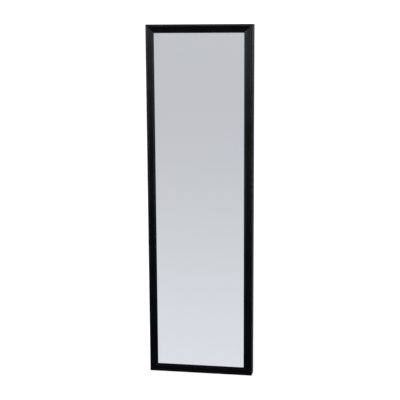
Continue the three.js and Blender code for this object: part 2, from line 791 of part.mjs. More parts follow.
const bumperGeometry = geometryOf(solidOf(restBumper()));
const slideScrewGeometry = screw(postSheet + seatGap + innerSheet + screwReachPast / 2, false);
for (const [row, height] of [['upper', 0], ['lower', -slideSpacing]]) {
  const slide = new THREE.Group();
  slide.position.z = height;
  assembly.add(slide);
  slide.add(named(`${row}_slide_cabinet_member`, cabinetMember, zincSteel));
  slide.add(named(`${row}_slide_outer_ball_cage`, outerCage, cageBlack));
  slide.add(named(`${row}_slide_middle_member`, middleMember, zincSteel));
  slide.add(named(`${row}_slide_inner_ball_cage`, innerCage, cageBlack));
  slide.add(named(`${row}_slide_inner_member`, innerMember, zincSteel));
  const bumper = named(`${row}_rest_bumper`, bumperGeometry, rubberBlack);
  bumper.position.x = bumperX;
  slide.add(bumper);
  for (const [end, x] of [['rear', postScrewXs[0]], ['front', postScrewXs[1]]]) {
    const fastener = named(`${row}_slide_post_screw_${end}`, slideScrewGeometry, screwSteel);
    fastener.position.set(x, postFront - seatGap - overallDepth, 0);
    slide.add(fastener);
  }
}

export default assembly;
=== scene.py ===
"""Looks of the pull-out closet mirror: a black mitred frame round silvered glass, hinged to a folded post
that rides on two ball slides.

Object places are metres in the row frame. The sizes in the classes are millimetres, as on a drawing, and
Surface.work turns them into metres. Where a piece lies comes from its CAD node's box.
"""

import json
import logging
import math
from dataclasses import dataclass, replace
from enum import Enum
from functools import cache
from itertools import product

import bmesh
import bpy
import numpy as np
from mathutils import Matrix, Vector
from mathutils.geometry import tessellate_polygon

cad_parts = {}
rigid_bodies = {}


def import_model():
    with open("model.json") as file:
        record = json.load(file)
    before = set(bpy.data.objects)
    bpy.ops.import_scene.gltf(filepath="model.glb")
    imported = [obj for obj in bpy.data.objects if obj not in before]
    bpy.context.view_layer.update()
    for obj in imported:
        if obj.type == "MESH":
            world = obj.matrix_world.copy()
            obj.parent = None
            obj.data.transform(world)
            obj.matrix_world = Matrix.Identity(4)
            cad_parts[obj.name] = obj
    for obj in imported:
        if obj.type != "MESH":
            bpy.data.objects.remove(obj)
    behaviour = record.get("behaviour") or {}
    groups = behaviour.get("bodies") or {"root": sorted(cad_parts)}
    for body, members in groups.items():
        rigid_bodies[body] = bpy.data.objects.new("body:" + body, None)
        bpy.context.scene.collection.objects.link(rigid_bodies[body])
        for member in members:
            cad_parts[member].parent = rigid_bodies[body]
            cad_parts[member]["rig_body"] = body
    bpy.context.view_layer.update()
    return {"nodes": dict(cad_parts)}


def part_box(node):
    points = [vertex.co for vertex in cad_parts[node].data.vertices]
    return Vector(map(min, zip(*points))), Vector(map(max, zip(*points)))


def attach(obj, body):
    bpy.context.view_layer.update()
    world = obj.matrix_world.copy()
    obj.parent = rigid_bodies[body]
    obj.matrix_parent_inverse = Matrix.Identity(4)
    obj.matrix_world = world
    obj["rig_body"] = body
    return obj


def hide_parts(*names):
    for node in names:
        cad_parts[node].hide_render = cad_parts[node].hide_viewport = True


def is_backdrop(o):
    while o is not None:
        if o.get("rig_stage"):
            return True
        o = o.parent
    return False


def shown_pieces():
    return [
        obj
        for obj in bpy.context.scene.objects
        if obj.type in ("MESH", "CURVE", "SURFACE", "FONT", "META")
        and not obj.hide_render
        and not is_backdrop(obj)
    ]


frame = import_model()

MM = 0.001
WELD = 1e-6
MICRON_DIGITS = 3
TINY = 1e-12
STRAIGHT = 1e-4
SAME_PLACE = 1e-5
SHARPEST = 0.2
QUARTER = 90
TURN = 2 * np.pi
HEXAGON = 6
EASED_FROM = 38.0
LEVEL_TO = 1.0
EASE_CHORDS = 2
EASE_PROFILE = 0.5
MATRIX_SIZE = 4
GLASS_PIECE = "mirror_glass_sheet"
MOULDING = "_moulding"
log = logging.getLogger("closet_mirror")
Array = np.ndarray
Span = tuple[float, float]
Colour = tuple[float, float, float]
Peg = tuple[float, float, float]
Bent = tuple[Array, Array]
Kinds = tuple[int, int, int]
PLAIN = (0, 0, 0)
Tones = tuple[Colour, Colour]
Socket = bpy.types.NodeSocket
Work = bmesh.types.BMesh
Object = bpy.types.Object


class Slot(Enum):
    """The record's material slots."""

    FRAME = "frame_black"
    KEY = "key_grey"
    MIRROR = "mirror_silver"
    FOAM = "foam_white"
    BOARD = "board_brown"
    ZINC = "zinc_steel"
    POST = "post_black"
    CAGE = "cage_black"
    NYLON = "nylon_white"
    RUBBER = "rubber_black"
    SCREW = "screw_steel"


class Run(Enum):
    """The way that a surface's streaks or fibres run, as a stretch of the pattern, or none."""

    ALONG_X = (0.02, 1.0, 1.0)
    ALONG_Z = (1.0, 1.0, 0.02)
    MATTED_X = (0.3, 1.0, 1.0)
    MATTED_Z = (1.0, 1.0, 0.3)
    EVEN = None


class Way(Enum):
    """Where a surface's own x, y and z axes point once it is placed. The name says where z points, but a
    SHEET is an outline in (x, z) carried back, and a CHANNEL a section in (y, z) carried along x."""

    UP = ((1, 0, 0), (0, 1, 0), (0, 0, 1))
    DOWN = ((-1, 0, 0), (0, 1, 0), (0, 0, -1))
    TO_LEADING = ((0, 0, -1), (0, 1, 0), (1, 0, 0))
    TO_TRAILING = ((0, 0, 1), (0, 1, 0), (-1, 0, 0))
    TO_FRONT = ((1, 0, 0), (0, 0, 1), (0, -1, 0))
    TO_BACK = ((1, 0, 0), (0, 0, -1), (0, 1, 0))
    SHEET = ((1, 0, 0), (0, 0, 1), (0, 1, 0))
    CHANNEL = ((0, 1, 0), (0, 0, 1), (1, 0, 0))


class Room:
    """The box that a CAD node takes up at rest, in millimetres to the micron."""

    def __init__(self, node: str) -> None:
        """Reads the box of a node."""
        self.low, self.high = np.round(np.array(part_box(node)) / MM, MICRON_DIGITS)
        self.middle, self.size = (self.low + self.high) / 2, self.high - self.low


# Meshes


def grid(rows: int, columns: int) -> Array:
    """The corner numbers, four to a row, of the quads between neighbouring rings of corners."""
    low, ahead = (np.roll(np.arange((rows - 1) * columns).reshape(-1, columns), turn, 1) for turn in (0, -1))
    return np.stack([low, ahead, ahead + columns, low + columns], -1).reshape(-1, 4)


def unit(vectors: Array) -> Array:
    """The vectors, each divided by its length."""
    return vectors / np.maximum(np.linalg.norm(vectors, axis=-1, keepdims=True), TINY)


def arc(centre: Span, radius: float, start: float, stop: float, steps: int = 6) -> Array:
    """Points from one angle in degrees to another: the centre plus radius times its cosine and sine."""
    turn = np.radians(np.linspace(start, stop, steps + 1))
    return np.array(centre) + radius * np.stack([np.cos(turn), np.sin(turn)], 1)


def circle(x: float, radius: float, sides: int, clockwise: bool = False) -> Array:
    """A ring of points about a middle on the first axis, clockwise where it is a hole's outline."""
    return arc((x, 0), radius, 0, -4 * QUARTER if clockwise else 4 * QUARTER, sides)[:-1]


def rectangle(x0: float, y0: float, x1: float, y1: float) -> Array:
    """Four corners, anticlockwise where both numbers rise from the first corner to the opposite one."""
    return np.array([[x0, y0], [x1, y0], [x1, y1], [x0, y1]])


def softened(corners: Array, cuts: Array | float, steps: int = 3) -> Array:
    """A closed loop with rounded corners. Each becomes an arc that touches its two sides a cut's length
    away: its centre lies on the corner's bisector, and its points swing evenly from side to side.

    Args:
        corners: The loop's corners in order.
        cuts: How far from each corner the rounding starts, zero to leave it sharp.
        steps: How many chords an arc has.

    Returns:
        The rounded loop.
    """
    cuts = np.broadcast_to(cuts, len(corners))[:, None]
    back, ahead = (unit(np.roll(corners, way, 0) - corners) for way in (1, -1))
    facing = np.maximum(1 + (back * ahead).sum(1, keepdims=True), STRAIGHT)
    centre = corners + (back + ahead) * cuts / facing
    first, last = (corners + cuts * side - centre for side in (back, ahead))
    start, stop = (np.arctan2(end[:, 1:], end[:, :1]) for end in (first, last))
    angle = start + (np.mod(stop - start + TURN / 2, TURN) - TURN / 2) * np.linspace(0, 1, steps + 1)
    round_it = np.linalg.norm(first, axis=1)[:, None, None] * np.stack([np.cos(angle), np.sin(angle)], -1)
    points = (centre[:, None] + round_it).reshape(-1, 2)
    return points[np.linalg.norm(points - np.roll(points, 1, 0), axis=1) > SAME_PLACE]


def drawn_in(loop: Array, distance: float) -> Array:
    """A loop whose sides have all moved to their left by a distance. Each corner moves along its bisector,
    by the distance over the cosine of half the turn.

    Args:
        loop: The loop, with the material on its left.
        distance: How far the sides move.

    Returns:
        The moved loop.
    """
    along = unit(np.roll(loop, -1, 0) - loop)
    left = np.stack([-along[:, 1], along[:, 0]], 1)
    both = left + np.roll(left, 1, 0)
    return loop + 2 * distance * both / np.maximum((both**2).sum(1, keepdims=True), SHARPEST)


def soft_rings(low: float, high: float, edge: float, steps: int = 2) -> Array:
    """The rings of a solid whose two rims are rounded by a quarter circle, or with one chord by a chamfer.

    Args:
        low: The height of its foot.
        high: The height of its top.
        edge: The radius of the rounding.
        steps: How many chords a rounding has.

    Returns:
        For each ring, how far it is drawn in, its height, and a slope of zero.
    """
    turn = np.linspace(0, TURN / 4, steps + 1)
    inset, rise = edge * (1 - np.sin(turn)), edge * (1 - np.cos(turn))
    foot, top = (np.stack([inset, height, 0 * turn], 1) for height in (low + rise, high - rise))
    return np.concatenate([foot, top[::-1]])


@dataclass
class Surface:
    """Corners in millimetres, and faces in groups that each have one finish."""

    points: Array
    groups: list[tuple[Array, int]]

    def placed(self, way: Way, origin: Array | tuple[float, float, float]) -> "Surface":
        """The surface in a new place.

        Args:
            way: Where its own axes point.
            origin: Where its own origin goes.

        Returns:
            The placed surface, with its faces turned round where the axes mirror it.
        """
        axes = np.array(way.value, float)
        order = -1 if np.linalg.det(axes) < 0 else 1
        groups = [(faces[:, ::order], kind) for faces, kind in self.groups]
        return Surface(self.points @ axes + np.array(origin), groups)

    @staticmethod
    def joined(parts: list["Surface"]) -> "Surface":
        """One surface with the corners and faces of several.

        Args:
            parts: The several.

        Returns:
            The one.
        """
        starts = np.cumsum([0] + [len(part.points) for part in parts])
        groups = [(faces + start, kind) for part, start in zip(parts, starts) for faces, kind in part.groups]
        return Surface(np.concatenate([part.points for part in parts]), groups)

    def work(self) -> Work:
        """The surface in metres, ready to be made into a piece.

        Returns:
            The shape.
        """
        faces = [face for group, _ in self.groups for face in group.tolist()]
        kinds = np.concatenate([np.full(len(group), kind, np.int32) for group, kind in self.groups])
        mesh = bpy.data.meshes.new("surface")
        mesh.from_pydata((self.points * MM).tolist(), [], faces)
        mesh.polygons.foreach_set("material_index", kinds)
        work = bmesh.new()
        work.from_mesh(mesh)
        bpy.data.meshes.remove(mesh)
        return work


def capped(loops: list[Array], upward: bool) -> Array:
    """Triangles that fill a flat outline with holes.

    Args:
        loops: The outline and the holes in it.
        upward: Whether the faces look up.

    Returns:
        The corner numbers of each triangle, counted through the loops in order.
    """
    flat = np.concatenate(loops)
    filled = tessellate_polygon([[(x, y, 0.0) for x, y in loop.tolist()] for loop in loops])
    triangles = np.array(filled, int)
    a, b, c = (flat[triangles[:, i]] for i in range(3))
    turn = (b - a)[:, 0] * (c - a)[:, 1] - (b - a)[:, 1] * (c - a)[:, 0]
    wrong = (turn > 0) != upward
    triangles[wrong] = triangles[wrong][:, ::-1]
    return triangles


def prism(loops: list[Array], rings: Array, kinds: Kinds = PLAIN, rim: bool = True) -> Surface:
    """An outline with holes, carried up through rings and closed by two flat caps. A corner of a ring is the
    outline's corner drawn in by the ring's inset, at its height plus its slope times the corner's first
    coordinate.

    Args:
        loops: The outline anticlockwise, then its holes clockwise.
        rings: The inset, height and slope of each ring, from the foot up.
        kinds: The finishes of the foot, the sides and the top.
        rim: Whether the outline has side faces, as its holes do.

    Returns:
        The surface.
    """
    count = len(rings)
    firsts = np.cumsum([0] + [count * len(loop) for loop in loops])
    points, groups = [], []
    for number, (loop, first) in enumerate(zip(loops, firsts)):
        for inset, height, slope in rings:
            points.append(np.column_stack([drawn_in(loop, inset), height + slope * loop[:, 0]]))
        if rim or number:
            groups.append((grid(count, len(loop)) + first, kinds[1]))
    for ring, kind, upward in ((0, kinds[0], False), (count - 1, kinds[2], True)):
        edges = [drawn_in(loop, rings[ring][0]) for loop in loops]
        numbers = [first + ring * len(loop) + np.arange(len(loop)) for first, loop in zip(firsts, loops)]
        groups.append((np.concatenate(numbers)[capped(edges, upward)], kind))
    return Surface(np.concatenate(points), groups)


def lathe(profile: Array, sides: int) -> Surface:
    """A turned surface about the z axis. A point is its row's radius times the cosine and sine of the angle,
    at the row's height. In a six-sided row the radius is the corners': it is times the cosine of half a
    side's angle, over the cosine of the angle from that side's middle.

    Args:
        profile: The radius and height of each row, outside on the right going up, and whether the row is
            six-sided (1) or round (0).
        sides: How many points a row has.

    Returns:
        The surface.
    """
    turn = np.linspace(0, TURN, sides, endpoint=False)[None, :]
    sector = TURN / HEXAGON
    flat = np.cos(sector / 2) / np.cos(np.mod(turn, sector) - sector / 2)
    radius = profile[:, :1] * (1 + profile[:, 2:] * (flat - 1))
    height = np.broadcast_to(profile[:, 1:2], radius.shape)
    points = np.stack([radius * np.cos(turn), radius * np.sin(turn), height], -1).reshape(-1, 3)
    return Surface(points, [(grid(len(profile), sides), 0)])


def rows_of(*runs: list | Array, faceted: float = 0) -> Array:
    """The rows of a turned profile from runs of radius and height, round or six-sided."""
    return np.concatenate([np.column_stack([run, np.full(len(run), faceted)]) for run in runs])


def balls(centres: Array, radius: float, finish: int, sides: int = 16) -> Surface:
    """Many spheres at once. A ball's rows have the radius times the sine of the polar angle for a radius,
    and times the cosine for a height.

    Args:
        centres: The centre of each ball, one to a row.
        radius: Their radius.
        finish: Their finish.
        sides: How many points a row has.

    Returns:
        The balls as one surface.
    """
    polar = np.linspace(TURN / 2, 0, sides // 2 + 1)
    ball = lathe(rows_of(np.stack([np.sin(polar), np.cos(polar)], 1) * radius), sides)
    ball.groups = [(ball.groups[0][0], finish)]
    return Surface.joined([ball.placed(Way.UP, centre) for centre in centres])


def belt(pegs: list[Peg], step: float = 10.0) -> Bent:
    """A line drawn tight round a row of pegs, as a bent sheet's centre line runs. Between two pegs it is
    straight: its direction is the one between their middles, plus the arcsine of the difference of their
    radii over their distance. Round a peg a point of it is the peg's middle less the radius times the unit
    vector to the line's left.

    Args:
        pegs: The middle and radius of each, negative where the line turns right, and zero at its two ends.
        step: The longest chord of an arc in degrees.

    Returns:
        The points, and the unit vectors to the line's left there.
    """
    rows = np.array(pegs, float)
    link = np.diff(rows[:, :2], axis=0)
    lean = np.arcsin(np.clip(-np.diff(rows[:, 2]) / np.linalg.norm(link, axis=1), -1, 1))
    way = np.unwrap(np.arctan2(link[:, 1], link[:, 0]) + lean)
    chords = np.ceil(np.abs(np.diff(way)) / math.radians(step) - WELD).astype(int)
    turns = [np.linspace(a, b, count + 1) for a, b, count in zip(way[:-1], way[1:], chords)]
    angle = np.concatenate([way[:1], *turns, way[-1:]])
    peg = np.repeat(rows, [1, *(chords + 1), 1], axis=0)
    left = np.stack([-np.sin(angle), np.cos(angle)], 1)
    points = peg[:, :2] - peg[:, 2:] * left
    apart = np.append(np.linalg.norm(np.diff(points, axis=0), axis=1) > SAME_PLACE, True)
    return points[apart], left[apart]


def mirrored(bent: Bent) -> Bent:
    """A bent sheet's upper half, and after it the lower one, which is its reflection."""
    return tuple(np.concatenate([half[:-1], (half[:-1] * [1, -1])[::-1]]) for half in bent)


def sheet_loop(bent: Bent, thickness: float) -> Array:
    """The section of a bent sheet, anticlockwise: its centre line moved half the thickness either way."""
    line, left = bent
    return np.concatenate([line - left * thickness / 2, (line + left * thickness / 2)[::-1]])


def channel(bent: Bent, thickness: float, room: Room, holes: list[Array], edge: float = 0.2) -> Surface:
    """A bent sheet carried along x, with holes in its web, the longest straight of its line. The web's two
    long quads are left out of the carried surface, and flat faces with the holes take their place.

    Args:
        bent: The sheet's centre line in (y, z), which runs down the web, and the unit vectors to its left.
        thickness: The sheet's thickness.
        room: The box whose length along x and whose height the channel takes.
        holes: The holes' outlines in (x, z), clockwise.
        edge: The rounding of its ends.

    Returns:
        The closed surface.
    """
    line = bent[0]
    loop = sheet_loop(bent, thickness)
    web = int(np.argmax(np.linalg.norm(np.diff(line, axis=0), axis=1)))
    x0, x1 = room.low[0], room.high[0]
    rings = soft_rings(x0, x1, edge)
    body = prism([loop], rings)
    quads, finish = body.groups[0]
    long_row = (len(rings) // 2 - 1) * len(loop)
    body.groups[0] = (np.delete(quads, [long_row + web, long_row + len(loop) - 2 - web], 0), finish)
    depth, high = line[web]
    outline = rectangle(x0 + edge, line[web + 1, 1], x1 - edge, high)
    flat_rings = np.array([[0, depth - thickness / 2, 0], [0, depth + thickness / 2, 0]])
    face = prism([outline, *holes], flat_rings, rim=False)
    level = (0, 0, room.middle[2])
    return Surface.joined([body.placed(Way.CHANNEL, level), face.placed(Way.SHEET, level)])


# Finishes


@dataclass(frozen=True)
class Patches:
    """Soft patches of noise: their size in millimetres, how many finer layers they have, the noise at which
    they start and are full, what they are worth there, and how they are drawn out."""

    size: float
    detail: float = 3.0
    start: Span = (0.3, 0.7)
    worth: Span = (0.0, 1.0)
    run: Run = Run.EVEN


class Recipe:
    """A material's nodes in the making."""

    MIX_INPUTS = (0, 6, 7)
    MIX_RESULT = 2

    def __init__(self, name: str) -> None:
        """Starts a material from its bare shader.

        Args:
            name: The material's name.
        """
        self.material = bpy.data.materials.new(name)
        self.material.use_nodes = True
        self.tree = self.material.node_tree
        self.shader = self.tree.nodes["Principled BSDF"]
        self.place = self.node("TexCoord", {}, "Object")

    def give(self, socket: Socket, value: object) -> None:
        """Sets a socket, or links it.

        Args:
            socket: The socket.
            value: A number, a colour or vector, or the socket that gives it.
        """
        if isinstance(value, Socket):
            self.tree.links.new(value, socket)
        else:
            socket.default_value = (*value, 1) if socket.type == "RGBA" else value

    def node(self, kind: str, inputs: dict, out: str | int = 0, **settings: object) -> Socket:
        """A new node.

        Args:
            kind: What node it is.
            inputs: What its inputs are given, by their name or number.
            out: The output to hand back.
            settings: The node's own settings.

        Returns:
            The output.
        """
        node = self.tree.nodes.new("ShaderNode" + kind)
        for name, value in settings.items():
            setattr(node, name, value)
        for name, value in inputs.items():
            self.give(node.inputs[name], value)
        return node.outputs[out]

    def noise(self, size: float, detail: float, run: Run = Run.EVEN) -> Socket:
        """A noise from 0 to 1 over the object's own coordinates, with patches of a size in millimetres."""
        drawn = self.node("Mapping", {"Vector": self.place, "Scale": run.value}) if run.value else self.place
        return self.node("TexNoise", {"Scale": 1 / (size * MM), "Detail": detail, "Vector": drawn}, "Fac")

    def ranged(self, value: Socket, start: Span, worth: Span) -> Socket:
        """A value moved from one range to another, and held within it."""
        ranges = zip(("From Min", "From Max", "To Min", "To Max"), (*start, *worth))
        return self.node("MapRange", {"Value": value, **dict(ranges)})

    def patches(self, kind: Patches) -> Socket:
        """Where the patches lie, and what they are worth there."""
        return self.ranged(self.noise(kind.size, kind.detail, kind.run), kind.start, kind.worth)

    def blend(self, kind: Patches, first: Colour | Socket, second: Colour | Socket) -> Socket:
        """Two colours, the second where the patches lie."""
        return self.mixed(self.patches(kind), first, second)

    def mixed(self, share: Socket, first: Colour | Socket, second: Colour | Socket) -> Socket:
        """Two colours mixed, with a given share of the second."""
        inputs = dict(zip(self.MIX_INPUTS, (share, first, second)))
        return self.node("Mix", inputs, self.MIX_RESULT, data_type="RGBA")

    def worked_out(self, operation: str, *values: object, held: bool = False) -> Socket:
        """A number worked out from others, and held from 0 to 1 where that is asked for."""
        return self.node("Math", dict(enumerate(values)), operation=operation, use_clamp=held)

    def shade(self, inputs: dict) -> None:
        """Gives the shader its inputs by name."""
        for name, value in inputs.items():
            self.give(self.shader.inputs[name], value)


@dataclass(frozen=True)
class Finish:
    """What every finish has: two tones in soft patches, a range of roughness and a fine relief."""

    name: str
    slot: Slot
    tones: Tones
    roughness: Span
    patch: float
    grain: float
    depth: float
    metallic: float = 0.0
    specular: float = 0.5
    run: Run = Run.EVEN
    grazing: float = 1.0
    tone_start: Span = (0.35, 0.65)
    rough_finer: float = 3.0
    rough_detail: float = 4.0
    detail: float = 3.0

    @cache
    def material(self) -> bpy.types.Material:
        """Builds the material when it is first asked for.

        Returns:
            The material.
        """
        recipe = Recipe(self.name)
        tones = recipe.blend(Patches(self.patch, start=self.tone_start), *self.tones)
        finer = self.patch / self.rough_finer
        rough = Patches(finer, self.rough_detail, worth=self.roughness, run=self.run)
        relief = {"Strength": 1, "Distance": self.depth * MM, "Height": self.height(recipe)}
        recipe.shade({
            "Base Color": self.colour(recipe, tones),
            "Roughness": recipe.patches(rough),
            "Metallic": self.metallic,
            "Specular IOR Level": self.specular,
            "Specular Tint": (self.grazing,) * 3,
            "Normal": recipe.node("Bump", relief),
        })
        return recipe.material

    def colour(self, recipe: Recipe, base: Socket) -> Socket:
        """The colour: the two tones in patches, which another kind of finish works on further."""
        return base

    def height(self, recipe: Recipe) -> Socket:
        """The relief's height from 0 to 1: an even grain."""
        return recipe.noise(self.grain, self.detail, self.run)


@dataclass(frozen=True)
class SatinCoat(Finish):
    """A satin coat with a fine orange peel over faint lines from the die, and a few specks of dust."""

    dust: Colour = (0.02, 0.02, 0.021)
    specks: Patches = Patches(2.4, 6, (0.72, 0.8))
    line: float = 0.6
    line_share: float = 0.6
    detail: float = 2.0

    def colour(self, recipe: Recipe, base: Socket) -> Socket:
        """The coat's tones with specks of dust."""
        return recipe.blend(self.specks, base, self.dust)

    def height(self, recipe: Recipe) -> Socket:
        """The relief's height: orange peel, plus a share of the die's lines."""
        peel, lines = recipe.noise(self.grain, self.detail), recipe.noise(self.line, self.detail, self.run)
        return recipe.worked_out("MULTIPLY_ADD", lines, self.line_share, peel)


@dataclass(frozen=True)
class Plated(Finish):
    """Bright zinc plate over rolled steel: streaks along the rolling, and a faint warm and cold bloom."""

    bloom: Tones = ((0.5, 0.485, 0.44), (0.4, 0.44, 0.5))
    clouds: Patches = Patches(35, 2)
    veil: Patches = Patches(18, 3, (0.4, 0.75), (0, 0.55))
    streaks: Patches = Patches(1.2, 3, (0.45, 0.75), (0, 0.5))

    def colour(self, recipe: Recipe, base: Socket) -> Socket:
        """The plate's tones, under a bloom and streaks."""
        toned = recipe.blend(self.veil, base, recipe.blend(self.clouds, *self.bloom))
        return recipe.blend(replace(self.streaks, run=self.run), toned, self.tones[0])


@dataclass(frozen=True)
class Board(Finish):
    """Hardboard: a fine felt of dark and pale fibres."""

    dark: Colour = (0.12, 0.066, 0.032)
    pale: Colour = (0.42, 0.29, 0.17)
    dark_fibres: Patches = Patches(1.6, 5, (0.52, 0.7), (0, 0.7), Run.MATTED_Z)
    pale_fibres: Patches = Patches(1.3, 5, (0.56, 0.74), (0, 0.6), Run.MATTED_X)

    def colour(self, recipe: Recipe, base: Socket) -> Socket:
        """The board's brown with fibres both ways."""
        felted = recipe.blend(self.dark_fibres, base, self.dark)
        return recipe.blend(self.pale_fibres, felted, self.pale)


@dataclass(frozen=True)
class Cellular(Finish):
    """Closed-cell foam: small cells that catch the light."""

    cell_rim: float = 0.7

    def height(self, recipe: Recipe) -> Socket:
        """The relief's height: the cells' rounded tops, highest in their middles."""
        scale = {"Scale": 1 / (self.grain * MM), "Vector": recipe.place}
        return recipe.ranged(recipe.node("TexVoronoi", scale, "Distance"), (0, self.cell_rim), (1, 0))


FRAME_TONES = ((0.0018, 0.0018, 0.002), (0.0026, 0.0026, 0.003))
FRAME_COAT = {"patch": 90, "grain": 1.1, "depth": 0.006, "metallic": 1, "grazing": 0.11}
STILE_BLACK = SatinCoat(
    "satin_black_stile", Slot.FRAME, FRAME_TONES, (0.29, 0.36), run=Run.ALONG_Z, **FRAME_COAT
)
RAIL_BLACK = SatinCoat(
    "satin_black_rail", Slot.FRAME, FRAME_TONES, (0.2, 0.25), run=Run.ALONG_X, **FRAME_COAT
)
MIRROR_SILVER = Finish(
    "silvered_face", Slot.MIRROR, ((0.777, 0.798, 0.829), (0.784, 0.802, 0.834)), (0.012, 0.02),
    patch=500, grain=260, depth=0.02, metallic=1, detail=0,
)
GLASS_EDGE = Finish(
    "ground_glass_edge", Slot.MIRROR, ((0.16, 0.3, 0.25), (0.22, 0.38, 0.32)), (0.3, 0.45),
    patch=8, grain=0.3, depth=0.01,
)
MIRROR_BACK = Finish(
    "mirror_back_paint", Slot.MIRROR, ((0.2, 0.21, 0.23), (0.25, 0.26, 0.28)), (0.5, 0.65),
    patch=40, grain=1.5, depth=0.01, specular=0.4,
)
FOAM_WHITE = Cellular(
    "closed_cell_foam", Slot.FOAM, ((0.78, 0.78, 0.74), (0.86, 0.86, 0.83)), (0.85, 0.95),
    patch=30, grain=0.9, depth=0.12, specular=0.2,
)
HARDBOARD = Board(
    "hardboard_brown", Slot.BOARD, ((0.25, 0.155, 0.085), (0.33, 0.21, 0.12)), (0.55, 0.75),
    patch=120, grain=0.8, depth=0.03, specular=0.3,
)
ZINC_TONES = ((0.4, 0.41, 0.425), (0.53, 0.54, 0.55))
ROLLED = {"patch": 25, "grain": 0.5, "depth": 0.006, "metallic": 1}
ZINC_ALONG = Plated("zinc_rolled_along", Slot.ZINC, ZINC_TONES, (0.24, 0.42), run=Run.ALONG_X, **ROLLED)
ZINC_UP = Plated("zinc_rolled_up", Slot.ZINC, ZINC_TONES, (0.26, 0.42), run=Run.ALONG_Z, **ROLLED)
ZINC_TURNED = Plated(
    "zinc_turned", Slot.ZINC, ((0.43, 0.44, 0.45), (0.55, 0.56, 0.57)), (0.2, 0.34),
    patch=12, grain=0.4, depth=0.004, metallic=1,
)
SCREW_STEEL = Plated(
    "plated_screw", Slot.SCREW, ((0.35, 0.36, 0.37), (0.48, 0.49, 0.5)), (0.24, 0.4),
    patch=6, grain=0.3, depth=0.005, metallic=1,
)
BALL_CHROME = Finish(
    "ball_chrome", Slot.CAGE, ((0.68, 0.69, 0.7), (0.74, 0.75, 0.76)), (0.06, 0.12),
    patch=6, grain=0.4, depth=0.001, metallic=1,
)
POST_BLACK = SatinCoat(
    "powder_black_post", Slot.POST, ((0.008, 0.008, 0.009), (0.013, 0.013, 0.014)), (0.42, 0.56),
    patch=70, grain=0.9, depth=0.03, specular=0.35,
)
CAGE_BLACK = Finish(
    "moulded_cage_black", Slot.CAGE, ((0.015, 0.015, 0.016), (0.022, 0.022, 0.023)), (0.45, 0.6),
    patch=20, grain=0.4, depth=0.008, specular=0.4,
)
NYLON = Finish(
    "moulded_nylon", Slot.NYLON, ((0.72, 0.7, 0.62), (0.8, 0.78, 0.7)), (0.38, 0.52),
    patch=6, grain=0.3, depth=0.006,
)
RUBBER = Finish(
    "soft_rubber", Slot.RUBBER, ((0.012, 0.012, 0.012), (0.022, 0.022, 0.021)), (0.7, 0.88),
    patch=8, grain=0.35, depth=0.02, specular=0.3,
)
DIE_CAST = Finish(
    "die_cast_grey", Slot.KEY, ((0.42, 0.43, 0.44), (0.52, 0.53, 0.54)), (0.45, 0.62),
    patch=20, grain=0.6, depth=0.02, metallic=1,
)


# Pieces


def piece(name: str, work: Work, finishes: list[Finish], node: str, crease: float = 35) -> Object:
    """Welds a shape's corners, shades it smooth but for its creases, and puts it in the scene in place of a
    CAD node, riding on that node's body.

    Args:
        name: The piece's name.
        work: Its shape in the row frame, which is freed.
        finishes: Its finishes, in the order of the faces' numbers.
        node: The CAD node that it stands for.
        crease: The angle in degrees from which an edge stays sharp.

    Returns:
        The piece.
    """
    mesh = bpy.data.meshes.new(name)
    bmesh.ops.remove_doubles(work, verts=work.verts, dist=WELD)
    work.to_mesh(mesh)
    work.free()
    mesh.polygons.foreach_set("use_smooth", np.ones(len(mesh.polygons), bool))
    mesh.set_sharp_from_angle(angle=math.radians(crease))
    mesh.update()
    for finish in finishes:
        mesh.materials.append(finish.material())
    obj = bpy.data.objects.new(name, mesh)
    bpy.context.scene.collection.objects.link(obj)
    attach(obj, frame["nodes"][node]["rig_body"])
    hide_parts(node)
    log.info("%s: %d faces, stands for %s", name, len(mesh.polygons), node)
    return obj


def eased_copy(name: str, node: str, edge: float, finish: Finish, crease: float) -> None:
    """Makes a piece from a CAD node's own shape, with its flat faces joined and its sharp edges rounded.

    Args:
        name: The piece's name.
        node: The CAD node that it copies and stands for.
        edge: The rounding's width in millimetres.
        finish: Its finish.
        crease: The angle in degrees from which its edges stay sharp.
    """
    work = bmesh.new()
    work.from_mesh(frame["nodes"][node].data)
    bmesh.ops.remove_doubles(work, verts=work.verts, dist=WELD)
    level, sharp = math.radians(LEVEL_TO), math.radians(EASED_FROM)
    bmesh.ops.dissolve_limit(work, angle_limit=level, verts=work.verts, edges=work.edges)
    eased = [side for side in work.edges if side.is_manifold and side.calc_face_angle() > sharp]
    shape = {"segments": EASE_CHORDS, "profile": EASE_PROFILE, "affect": "EDGES", "clamp_overlap": True}
    bmesh.ops.bevel(work, geom=eased, offset=edge * MM, **shape)
    piece(name, work, [finish], node, crease)


